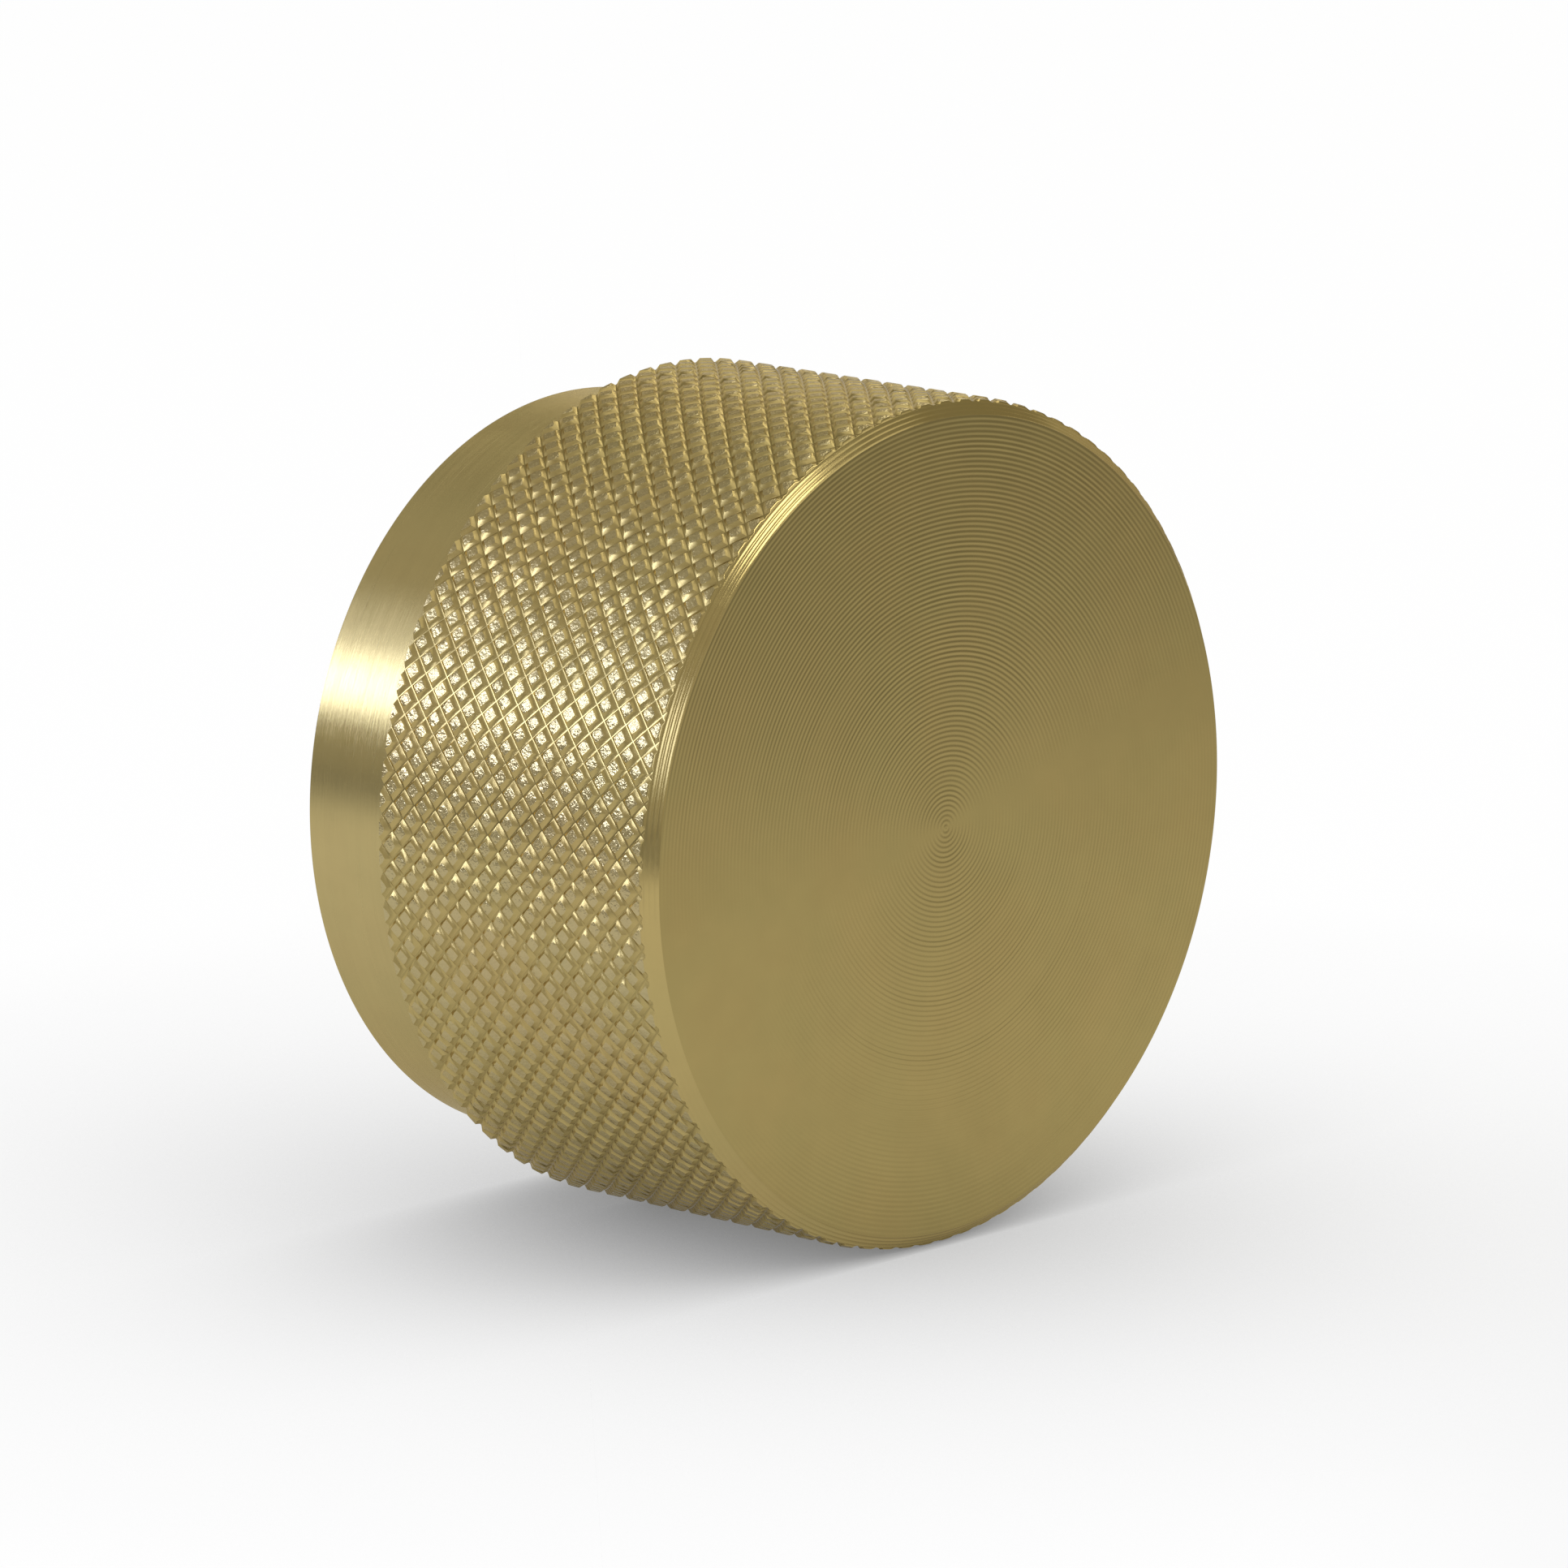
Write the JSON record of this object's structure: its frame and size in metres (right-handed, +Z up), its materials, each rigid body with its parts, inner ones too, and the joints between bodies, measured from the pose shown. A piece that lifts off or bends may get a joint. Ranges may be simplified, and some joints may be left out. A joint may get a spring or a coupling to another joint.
{
  "type": "cabinet knob",
  "caption": "Round turned brass cabinet knob: diamond-knurled grip with a chamfered rim and flat front face, a plain collar behind it and a tapped screw hole in the back.",
  "frame": {"origin": "centre of the mounting face at the back, on the axis of the screw hole", "axes": "+Y along the axis, out of the back towards the door; the front face looks along -Y; +Z up as on a door"},
  "size_m": [0.032, 0.0192, 0.032],
  "materials": {
    "satin_brass": "satin, as turned, with fine turning rings on the face and a diamond knurl on the grip"
  },
  "bodies": {
    "root": {"knob_body": "satin_brass"}
  },
  "joints": []
}
